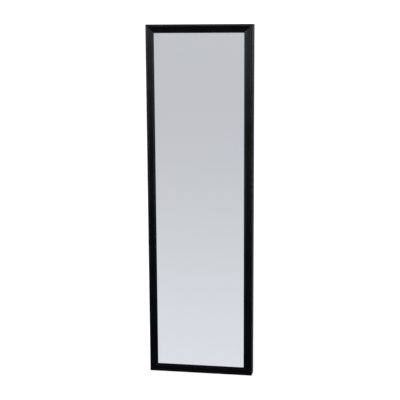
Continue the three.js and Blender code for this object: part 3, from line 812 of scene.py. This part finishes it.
@dataclass
class MirrorFrame:
    """The black frame: two stiles and two rails of one mitred extrusion, with a key in each corner."""

    wall: float = 1.8
    shoulder: float = 4.5
    shoulder_chords: int = 16
    land: float = 2.0
    step: float = 0.9
    fall: float = 0.9
    groove_width: float = 1.6
    groove_depth: float = 0.6
    bead_width: float = 5.2
    bead_round: float = 2.0
    bead_start: float = 225.0
    bead_chords: int = 14
    lip_cover: float = 5.0
    lip_depth: float = 3.4
    chamber_depth: float = 14.0
    chamber_round: float = 0.5
    mitre_gap: float = 0.3
    edge: float = 0.35
    crease: float = 28.0

    def section(self, face: float, depth: float) -> list[Array]:
        """The extrusion's section, inward and back, with eased edges.

        Args:
            face: Its width.
            depth: Its depth.

        Returns:
            The outline anticlockwise, and its two chambers clockwise.
        """
        face_end = self.step + self.fall
        groove_end = face - self.bead_width
        groove_start = groove_end - self.groove_width
        seat = face - self.lip_cover
        land_end = self.shoulder + self.land
        shoulder = arc((self.shoulder,) * 2, self.shoulder, 2 * QUARTER, 3 * QUARTER, self.shoulder_chords)
        middle = (face - self.bead_round, self.step + self.bead_round)
        bead = arc(middle, self.bead_round, self.bead_start, 4 * QUARTER, self.bead_chords)
        ease, small = self.edge, self.edge / 2
        front = [
            (land_end, 0, ease),
            (land_end + self.step, self.step, ease),
            (groove_start, face_end, ease),
            (groove_start + self.groove_width / 2, face_end + self.groove_depth, ease),
            (groove_end, face_end, small),
        ]
        lip = [(face, self.lip_depth, small), (seat, self.lip_depth, ease), (seat, depth, ease)]
        corners = np.concatenate([[(0, depth, ease)], rows_of(shoulder), front, rows_of(bead), lip])
        key_back = face_end + self.wall + self.chamber_depth
        spans = ((face_end + self.wall, key_back), (key_back + self.wall, depth - self.wall))
        holes = [rectangle(self.wall, back, seat - self.wall, start) for start, back in spans]
        outline = softened(corners[:, :2], corners[:, 2])
        return [outline, *(softened(hole, self.chamber_round) for hole in holes)]

    def build(self) -> None:
        """Makes the four mouldings, and gives the corner keys their finish. A moulding's line at a distance
        from the outer edge stops as far and half the gap short of each end, which cuts the mitre."""
        stile, x1 = Room("trailing_stile"), Room("leading_stile").high[0]
        x0, front = stile.low[:2]
        z0, z1 = Room("bottom_rail").low[2], Room("top_rail").high[2]
        loops = self.section(*stile.size[:2])
        gap = self.mitre_gap / math.sqrt(2)
        mouldings = {
            "trailing_stile": (Way.UP, x0, z0, z1 - z0, STILE_BLACK),
            "top_rail": (Way.TO_LEADING, x0, z1, x1 - x0, RAIL_BLACK),
            "leading_stile": (Way.DOWN, x1, z1, z1 - z0, STILE_BLACK),
            "bottom_rail": (Way.TO_TRAILING, x1, z0, x1 - x0, RAIL_BLACK),
        }
        for node, (way, x, z, length, finish) in mouldings.items():
            moulding = prism(loops, np.array([[0, gap, 1], [0, length - gap, -1]]))
            piece(node + MOULDING, moulding.placed(way, (x, front, z)).work(), [finish], node, self.crease)
        for node in (name for name in frame["nodes"] if name.startswith("corner_key")):
            for place in frame["nodes"][node].material_slots:
                place.material = DIE_CAST.material()
            log.info("%s: keeps its shape, dressed in %s", node, DIE_CAST.name)


@dataclass
class Screw:
    """A small machine screw with a socket in its button or flush head."""

    flush: bool = False
    radius: float = 1.8
    head_radius: float = 3.6
    head_height: float = 1.9
    head_round: float = 1.2
    head_edge: float = 0.15
    rim: float = 0.1
    rim_round: float = 0.12
    rim_height: float = 0.3
    socket_radius: float = 1.3
    socket_depth: float = 0.9
    socket_bevel: float = 0.15
    socket_land: float = 2.0
    pitch: float = 0.8
    thread: float = 0.14
    thread_start: float = 0.4
    thread_end: float = 1.0
    tip_step: float = 0.2
    tip_length: float = 0.9
    rows_per_turn: int = 4
    sides: int = 36

    def surface(self, reach: float) -> Surface:
        """The screw along z, with its head below zero, or just above it where it is flush. The rows go from
        the socket's floor over the head to the shank, whose rows swing in and out with the cosine of their
        height over the pitch, as a thread does.

        Args:
            reach: The height of its tip.

        Returns:
            The closed surface.
        """
        base = 0 if self.flush else -self.head_height
        floor, socket, head = base + self.socket_depth, self.socket_radius, self.head_radius
        inner = [(0, floor), (socket, floor), (socket, base + self.rim), (socket + self.socket_bevel, base)]
        if self.flush:
            cone = [(head - self.rim, base), (head, base + self.rim_round), (head, base + self.rim_height)]
            outer = np.array([*cone, (self.radius, self.head_height)])
            start = self.head_height + self.rim_height
        else:
            middle = (head - self.head_round, base + self.head_round)
            dome = arc(middle, self.head_round, 3 * QUARTER, 4 * QUARTER)
            under = [(head, -self.head_edge), (head - self.head_edge, 0), (self.radius, 0)]
            outer = np.concatenate([dome, under])
            start = self.thread_start
        along = np.arange(start, reach - self.thread_end, self.pitch / self.rows_per_turn)
        swing = self.radius - self.thread * (1 - np.cos(TURN * along / self.pitch)) / 2
        tip = [(self.radius - self.tip_step, reach - self.tip_length), (self.radius / 2, reach), (0, reach)]
        round_rows = rows_of([(self.socket_land, base)], outer, np.column_stack([swing, along]), tip)
        return lathe(np.concatenate([rows_of(inner, faceted=1), round_rows]), self.sides)

    def drive(self, name: str, node: str, way: Way) -> None:
        """Makes the screw in its node's place: as long as the node's box, from its head to its tip.

        Args:
            name: The piece's name.
            node: The CAD node that it stands for.
            way: Where its tip points.
        """
        room = Room(node)
        tip_way = np.array(way.value[2])
        length = abs(room.size @ tip_way)
        head = 0 if self.flush else self.head_height
        seat = room.middle + tip_way * (head - length / 2)
        shape = self.surface(round(length - head, MICRON_DIGITS)).placed(way, seat).work()
        piece(name, shape, [SCREW_STEEL], node)


@dataclass
class GlassPack:
    """The glass, the foam and the back panel behind the frame's lip, with the clips that hold them in."""

    glass_corner: float = 1.5
    glass_arris: float = 0.6
    glass_crease: float = 30.0
    foam_corner: float = 3.0
    foam_edge: float = 0.5
    foam_fill: float = 1.0
    panel_corner: float = 2.0
    panel_edge: float = 0.25
    clip_sheet: float = 1.2
    clip_bend: float = 1.8
    clip_edge: float = 0.25

    def sheet(self, node: str, corner: float, edge: float, steps: int = 2, kinds: Kinds = PLAIN) -> Work:
        """A flat sheet that fills its node's box.

        Args:
            node: The CAD node.
            corner: The rounding of its corners.
            edge: The easing of its rims.
            steps: How many chords the easing has, one for a chamfer.
            kinds: The finishes of its front, edges and back.

        Returns:
            The sheet's shape.
        """
        room = Room(node)
        x, depth, z = room.size / 2
        outline = softened(rectangle(-x, -z, x, z), corner)
        flat = prism([outline], soft_rings(-depth, depth, edge, steps), kinds)
        return flat.placed(Way.SHEET, room.middle).work()

    def clip(self, size: Array) -> Surface:
        """A clip bent from sheet: its centre line runs along the foot, round the bend and up the rise.

        Args:
            size: The sizes of its box.

        Returns:
            Its surface about the middle of its box.
        """
        x, y, z = size / 2
        half = self.clip_sheet / 2
        corner = half + self.clip_bend
        bent = belt([(x, half - y, 0), (corner - x, corner - y, -self.clip_bend), (half - x, y, 0)])
        return prism([sheet_loop(bent, self.clip_sheet)], soft_rings(-z, z, self.clip_edge))

    def build(self) -> None:
        """Makes the sheets, the clips and the clips' screws."""
        glass = self.sheet("mirror_glass", self.glass_corner, self.glass_arris, 1, (0, 1, 2))
        faces = [MIRROR_SILVER, GLASS_EDGE, MIRROR_BACK]
        piece(GLASS_PIECE, glass, faces, "mirror_glass", self.glass_crease)
        foam = self.sheet("foam_sheet", self.foam_corner, self.foam_edge)
        piece("foam_backing_sheet", foam, [FOAM_WHITE], "foam_sheet")
        panel = self.sheet("back_panel", self.panel_corner, self.panel_edge)
        piece("back_panel_board", panel, [HARDBOARD], "back_panel")
        sides = {"trailing": (Way.UP, Way.TO_TRAILING), "leading": (Way.DOWN, Way.TO_LEADING)}
        for side, (way, outward) in sides.items():
            for row in ("top", "middle", "bottom"):
                node = f"panel_clip_{side}_{row}"
                room = Room(node)
                clip = self.clip(room.size).placed(way, room.middle)
                piece(f"{node}_bracket", clip.work(), [ZINC_UP], node)
                Screw().drive(f"clip_screw_{side}_{row}_steel", f"clip_screw_{side}_{row}", outward)


@dataclass
class PivotHinge:
    """A hinge of one row: a leaf with the middle barrel on the frame, a leaf with two barrels on the post, a
    pin with a riveted end, two washers and four screws."""

    row: str
    bore: float = 3.2
    ring_edge: float = 0.2
    pin_radius: float = 3.0
    pin_head_height: float = 1.8
    pin_ease: float = 0.1
    pin_dome: tuple[Span, ...] = ((0, 0), (2.2, 0), (3.4, 0.12), (4.1, 0.45), (4.5, 1.0), (4.6, 1.3))
    leaf_edge: float = 0.3
    leaf_crease: float = 30.0
    sides: int = 48

    def pin(self, size: Array) -> Surface:
        """The pin: a shank between a low domed head and a riveted end, which is the head's reflection.

        Args:
            size: The sizes of its box.

        Returns:
            Its surface about the middle of its box.
        """
        top, head = size[2] / 2, size[0] / 2
        seat = self.pin_head_height - top
        low = [(radius, height - top) for radius, height in self.pin_dome]
        low += [(head, seat - self.pin_ease), (head - self.pin_ease, seat), (self.pin_radius, seat)]
        return lathe(rows_of(low, [(radius, -height) for radius, height in reversed(low)]), self.sides)

    def ring(self, size: Array) -> Surface:
        """A washer about the middle of its box."""
        loops = [circle(0, size[0] / 2, self.sides), circle(0, self.bore, self.sides, True)]
        return prism(loops, soft_rings(-size[2] / 2, size[2] / 2, self.ring_edge))

    def build(self) -> None:
        """Makes the hinge's nine pieces."""
        hinge = f"{self.row}_hinge"
        sides, ends = ("frame", "post"), ("top", "bottom")
        for side in sides:
            leaf = f"{hinge}_{side}_leaf"
            eased_copy(f"{hinge}_{side}_plate", leaf, self.leaf_edge, ZINC_UP, self.leaf_crease)
        room = Room(f"{hinge}_pin")
        pin = self.pin(room.size).placed(Way.UP, room.middle)
        piece(f"{hinge}_pin_rod", pin.work(), [ZINC_TURNED], f"{hinge}_pin")
        for end in ends:
            room = Room(f"{hinge}_{end}_washer")
            ring = self.ring(room.size).placed(Way.UP, room.middle)
            piece(f"{hinge}_{end}_ring", ring.work(), [NYLON], f"{hinge}_{end}_washer")
        for end, side in product(ends, sides):
            screw = Screw(flush=side == "frame")
            screw.drive(f"{hinge}_{side}_bolt_{end}", f"{hinge}_{side}_screw_{end}", Way.TO_FRONT)


@dataclass
class CarriagePost:
    """The folded channel that ties the slides together and carries both hinges."""

    edge: float = 0.35
    crease: float = 38.0

    def build(self) -> None:
        """Makes the post from its own solid with eased edges."""
        eased_copy("carriage_post_channel", "carriage_post", self.edge, POST_BLACK, self.crease)


@dataclass
class BallSlide:
    """A full-extension slide: three nested members of bent sheet, two cages of balls between them, the two
    screws that hold the post, and the rubber bumper at its rear end."""

    row: str
    half_height: float = 22.85
    depth: float = 12.7
    sheets: tuple[float, float, float] = (1.2, 1.0, 1.2)
    cage_sheet: float = 0.8
    ball_radii: Span = (2.0, 1.6)
    row_depths: Span = (5.0, 9.2)
    clearance: float = 0.1
    gap: float = 0.3
    cabinet_lip: float = 10.0
    cage_lips: Span = (7.4, 10.4)
    cage_bend: float = 1.2
    bend_inside: float = 0.3
    cabinet_grip: float = 50.0
    middle_grip: float = 55.0
    groove_start: float = 140.0
    inner_race: Span = (230.0, 150.0)
    ball_pitch: float = 22.0
    ball_count: int = 8
    window_border: float = 14.0
    window_half: float = 9.0
    window_corner: float = 3.0
    window_chords: int = 5
    cages: tuple[str, str] = ("outer_ball_cage", "inner_ball_cage")
    hole_offsets: tuple[float, ...] = (37.0, 69.0, 229.0, 325.0)
    hole_sides: int = 32
    panel_hole: float = 2.4
    passage_hole: float = 5.5
    inner_hole: float = 2.1
    tapped_hole: float = 2.05
    crease: float = 40.0
    bumper_dish: tuple[Span, ...] = ((0, 0.35), (2.6, 0.3), (4.0, 0.08))
    bumper_round: float = 1.0
    bumper_ease: float = 0.3
    bumper_stem: float = 1.8
    bumper_sides: int = 48

    def rows(self) -> Span:
        """The heights of the outer and the inner ball row from the slide's middle."""
        reach, inside = self.ball_radii[0] + self.clearance, self.half_height - self.sheets[0]
        return inside - reach, inside - 2 * reach - self.sheets[1] - self.gap - self.cage_sheet / 2

    def webs(self) -> tuple[float, float, float]:
        """The depths from the panel of the outer cage's, the middle member's and the inner cage's web."""
        step = self.gap + (self.cage_sheet + self.sheets[1]) / 2
        return tuple(self.sheets[0] + self.gap + self.cage_sheet / 2 + number * step for number in range(3))

    def race(self, which: int, sheet: float) -> Peg:
        """The peg in (y, z) round which a sheet wraps the outer (0) or the inner (1) ball row."""
        radius = self.ball_radii[which] + self.clearance + sheet / 2
        return -self.row_depths[which], self.rows()[which], radius

    @staticmethod
    def around(race: Peg, turn: float, further: float = 0.0) -> Span:
        """A place on a race or further out, at an angle in degrees from straight up towards the room."""
        return tuple(arc(race[:2], race[2] + further, QUARTER + turn, QUARTER + turn, 0)[0])

    def pegs(self) -> dict[str, list[Peg]]:
        """The pegs of the members' and cages' centre lines in (y, z), from the upper lip to the middle of
        the web. A sheet that wraps a ball row leaves it by a bend the other way, whose peg touches the
        race's: it lies aside by the root of their radii's squared sum less the squared rise between them.

        Returns:
            The pegs of each.
        """
        webs = self.webs()
        sheet = self.sheets[0]
        bend = sheet / 2 + self.bend_inside
        y, z, radius = race = self.race(0, sheet)
        neck = self.around(race, self.cabinet_grip)[1]
        aside = math.sqrt((radius + bend) ** 2 - (neck + bend - z) ** 2)
        cabinet = [
            (-self.cabinet_lip, neck, 0),
            (y - aside, neck + bend, bend),
            (y, z, -radius),
            (y + aside, neck + bend, bend),
            (-sheet / 2 - bend, neck - bend, -bend),
            (-sheet / 2, 0, 0),
        ]
        sheet = self.sheets[1]
        bend = sheet / 2 + self.bend_inside
        lip, groove = self.race(1, sheet), self.race(0, sheet)
        foot = -webs[1] - bend
        fall = math.sqrt((groove[2] + bend) ** 2 - (foot - groove[0]) ** 2)
        middle = [
            (*self.around(lip, self.middle_grip), 0),
            (*lip[:2], -lip[2]),
            (*self.around(groove, self.groove_start, bend), -bend),
            groove,
            (foot, groove[1] - fall, -bend),
            (-webs[1], 0, 0),
        ]
        sheet = self.sheets[2]
        bend = sheet / 2 + self.bend_inside
        web = sheet / 2 - self.depth
        y, z, radius = race = self.race(1, sheet)
        first, neck = (self.around(race, turn) for turn in self.inner_race)
        low = neck[1] - bend
        aside = math.sqrt((radius + bend) ** 2 - (z - low) ** 2)
        inner = [(*first, 0), (y, z, -radius), (y - aside, low, bend), (web + bend, low, bend), (web, 0, 0)]
        pegs = {"cabinet_member": cabinet, "middle_member": middle, "inner_member": inner}
        for part, row, lip_end, web in zip(self.cages, self.rows(), self.cage_lips, (webs[0], webs[2])):
            corner = (-web - self.cage_bend, row - self.cage_bend, -self.cage_bend)
            pegs[part] = [(-lip_end, row, 0), corner, (-web, 0, 0)]
        return pegs

    def cage(self, which: int, bent: Bent, room: Room) -> Surface:
        """A ball cage: a thin channel with two windows in its web, and a row of balls through each flange.

        Args:
            which: Zero for the outer cage and one for the inner.
            bent: Its centre line and the unit vectors to its left.
            room: Its node's box.

        Returns:
            Its surface, the balls with the second finish.
        """
        x0, x1, middle, border = room.low[0], room.high[0], room.middle[0], self.window_border
        spans = ((x0 + border, middle - border / 2), (middle + border / 2, x1 - border))
        high = self.window_half
        corners = [rectangle(start, high, stop, -high) for start, stop in spans]
        windows = [softened(window, self.window_corner, self.window_chords) for window in corners]
        strip = channel(bent, self.cage_sheet, room, windows)
        first = middle - (self.ball_count - 1) * self.ball_pitch / 2
        xs = first + self.ball_pitch * np.arange(self.ball_count)
        height, depth, level = self.rows()[which], self.row_depths[which], room.middle[2]
        centres = np.array([[x, -depth, level + side * height] for side in (1, -1) for x in xs])
        return Surface.joined([strip, balls(centres, self.ball_radii[which], 1)])

    def bumper(self, room: Room) -> Surface:
        """The bumper: a low dome with a dished face and a stem, turned about its axis.

        Args:
            room: Its node's box.

        Returns:
            Its surface in its place.
        """
        face, stem, seat, ease = room.low[1], room.high[1], -self.depth - self.gap, self.bumper_ease
        radius, bend = room.size[0] / 2, self.bumper_round
        dish = [(r, face + height) for r, height in self.bumper_dish]
        rim = arc((radius - bend, face + bend), bend, 3 * QUARTER, 4 * QUARTER)
        back = [(radius, seat - ease), (radius - ease, seat), (self.bumper_stem, seat)]
        back += [(self.bumper_stem, stem - ease), (self.bumper_stem - ease, stem), (0, stem)]
        turned = lathe(rows_of(dish, rim, back), self.bumper_sides)
        return turned.placed(Way.TO_BACK, (room.middle[0], 0, room.middle[2]))

    def build(self) -> None:
        """Makes the slide's members, cages, screws and bumper."""
        slide = f"{self.row}_slide"
        lines = {part: mirrored(belt(pegs)) for part, pegs in self.pegs().items()}
        rubber = f"{self.row}_rest_bumper"
        bumper = Room(rubber)
        bolts = {end: f"{slide}_post_screw_{end}" for end in ("rear", "front")}
        xs = [Room(f"{slide}_cabinet_member").high[0] - offset for offset in self.hole_offsets]
        tapped = [bumper.middle[0], *(Room(node).middle[0] for node in bolts.values())]
        holes = {
            "cabinet_member": [*product(xs, [self.panel_hole])],
            "middle_member": [*product(xs, [self.passage_hole])],
            "inner_member": [*product(xs[1:], [self.inner_hole]), *product(tapped, [self.tapped_hole])],
        }
        for (part, places), sheet in zip(holes.items(), self.sheets):
            node = f"{slide}_{part}"
            outlines = [circle(x, radius, self.hole_sides, True) for x, radius in places]
            member = channel(lines[part], sheet, Room(node), outlines)
            piece(f"{node}_steel", member.work(), [ZINC_ALONG], node, self.crease)
        for which, part in enumerate(self.cages):
            node = f"{slide}_{part}"
            cage = self.cage(which, lines[part], Room(node))
            piece(f"{node}_strip", cage.work(), [CAGE_BLACK, BALL_CHROME], node, self.crease)
        for end, node in bolts.items():
            Screw().drive(f"{slide}_post_bolt_{end}", node, Way.TO_BACK)
        piece(f"{rubber}_rubber", self.bumper(bumper).work(), [RUBBER], rubber)


# Studio


class Lit(Enum):
    """What a soft box lights."""

    MOULDINGS = "black_mouldings"
    FITTINGS = "fittings"


@dataclass(frozen=True)
class SoftBox:
    """A soft box that faces the mirror's middle, placed by the direction and distance from there."""

    name: str
    azimuth: float
    rise: float
    width: float
    height: float
    power: float
    lit: Lit = Lit.MOULDINGS
    distance: float = 4.5

    def hang(self, middle: Vector, pieces: bpy.types.Collection) -> None:
        """Hangs the light out from the middle by its distance, turned by its azimuth in degrees from the
        front towards the pull-out side, and raised by its rise in degrees above the level.

        Args:
            middle: The mirror's middle, which it faces.
            pieces: The only pieces that it lights.
        """
        light = bpy.data.lights.new(self.name, "AREA")
        light.shape = "RECTANGLE"
        light.size = self.width
        light.size_y = self.height
        light.energy = self.power
        obj = bpy.data.objects.new(self.name, light)
        bpy.context.scene.collection.objects.link(obj)
        turn, rise = math.radians(self.azimuth), math.radians(self.rise)
        level = math.cos(rise)
        away = Vector((math.sin(turn) * level, -math.cos(turn) * level, math.sin(rise)))
        place = middle + away * self.distance
        facing = (middle - place).to_track_quat("-Z", "Y").to_matrix().to_4x4()
        obj.matrix_world = Matrix.Translation(place) @ facing
        obj.light_linking.receiver_collection = pieces


@dataclass
class Studio:
    """A pale floor with painted shade in front of the mirror, even daylight with a few soft boxes, and the
    photograph's camera.
    """

    floor_level: float = -1.35
    floor_reach: float = 500.0
    floor_roughness: float = 0.9
    floor_specular: float = 0.1
    near_tone: Colour = (0.95, 0.957, 0.992)
    # The far tone is painted shade: the floor's grey far in front of the mirror, where the light is made to
    # fall off.
    far_painted_shade_tone: Colour = (0.533, 0.536, 0.54)
    painted_shade_start: float = 1.3
    painted_shade_length: float = 3.44
    daylight: float = 1.25
    camera_place: tuple[float, float, float] = (0.5717, -3.3551, 0.2346)
    heading: float = 9.836
    dip: float = 10.19
    roll: float = -0.334
    lens: float = 88.75
    mirror_middle: tuple[float, float, float] = (0.0, -0.04, -0.38)
    soft_boxes: tuple[SoftBox, ...] = (
        SoftBox("left_soft_box", -65.0, -3.0, 0.9, 3.0, 520),
        SoftBox("right_soft_box", 58.0, -3.0, 0.8, 3.0, 440),
        SoftBox("far_right_soft_box", 74.5, 16.0, 0.8, 2.6, 500),
        SoftBox("upper_left_soft_box", -60.0, 13.5, 0.9, 0.85, 600),
        SoftBox("upper_soft_box", -12.0, 13.5, 2.6, 0.85, 240),
        SoftBox("upper_right_soft_box", 90.0, 13.5, 1.4, 0.85, 900),
        SoftBox("rear_left_soft_box", -145.0, 20.0, 2.0, 2.6, 500),
        SoftBox("rear_right_soft_box", 145.0, 20.0, 2.0, 2.6, 700),
        SoftBox("gentle_soft_box", -35.0, 35.0, 2.0, 2.0, 170, Lit.FITTINGS),
    )

    def floor(self) -> None:
        """Lays the floor: a flat square, near white behind the mirror. In front its colour darkens as
        painted shade, standing in for
        light that falls off there: its tone falls off towards the far tone by the exponential of the
        distance over the shade's length."""
        square = rectangle(*(-self.floor_reach,) * 2, *(self.floor_reach,) * 2)
        mesh = bpy.data.meshes.new("pale_floor")
        mesh.from_pydata([(x, y, self.floor_level) for x, y in square], [], [tuple(range(len(square)))])
        floor = bpy.data.objects.new("pale_floor", mesh)
        bpy.context.scene.collection.objects.link(floor)
        recipe = Recipe("pale_floor")
        back = recipe.node("SeparateXYZ", {"Vector": recipe.place}, "Y")
        # Painted shade: the floor's colour darkens with distance in front of the mirror, standing in for
        # light that falls off.
        slope, start = 1 / self.painted_shade_length, -self.painted_shade_start / self.painted_shade_length
        depth = recipe.worked_out("MULTIPLY_ADD", back, slope, start)
        painted_shade_fade = recipe.worked_out("EXPONENT", depth, held=True)
        floor_colour_with_painted_shade = recipe.mixed(painted_shade_fade, self.far_painted_shade_tone, self.near_tone)
        shine = {"Roughness": self.floor_roughness, "Specular IOR Level": self.floor_specular}
        recipe.shade({"Base Color": floor_colour_with_painted_shade, **shine})
        mesh.materials.append(recipe.material)
        floor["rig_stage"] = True

    def light(self) -> None:
        """Lights the studio evenly, and hangs the soft boxes. The strong ones light the black mouldings
        alone, the gentle one the fittings, and the floor and the glass are left to the daylight."""
        world = bpy.data.worlds.new("studio")
        bpy.context.scene.world = world
        world.use_nodes = True
        background = world.node_tree.nodes["Background"]
        background.inputs["Color"].default_value = (1, 1, 1, 1)
        background.inputs["Strength"].default_value = self.daylight
        groups = {lit: bpy.data.collections.new(lit.value) for lit in Lit}
        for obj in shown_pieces():
            if obj.name.endswith(MOULDING):
                groups[Lit.MOULDINGS].objects.link(obj)
            elif obj.name != GLASS_PIECE:
                groups[Lit.FITTINGS].objects.link(obj)
        for box in self.soft_boxes:
            box.hang(Vector(self.mirror_middle), groups[box.lit])

    def camera(self) -> None:
        """Sets the camera at the photograph's place, turned to its heading, dipped, then rolled."""
        lens = bpy.data.cameras.new("photo_camera")
        lens.lens = self.lens
        lens.clip_end = self.floor_reach
        obj = bpy.data.objects.new("photo_camera", lens)
        bpy.context.scene.collection.objects.link(obj)
        place = Matrix.Translation(self.camera_place)
        for angle, axis in ((self.heading, "Z"), (QUARTER - self.dip, "X"), (self.roll, "Z")):
            place = place @ Matrix.Rotation(math.radians(angle), MATRIX_SIZE, axis)
        obj.matrix_world = place
        bpy.context.scene.camera = obj
        bpy.context.scene.view_settings.view_transform = "Standard"


def main() -> None:
    logging.basicConfig(level=logging.INFO, format="%(message)s")
    studio = Studio()
    studio.camera()
    studio.floor()
    MirrorFrame().build()
    GlassPack().build()
    for row in ("upper", "lower"):
        PivotHinge(row).build()
    CarriagePost().build()
    for row in ("upper", "lower"):
        BallSlide(row).build()
    studio.light()


if __name__ == "__main__":
    main()
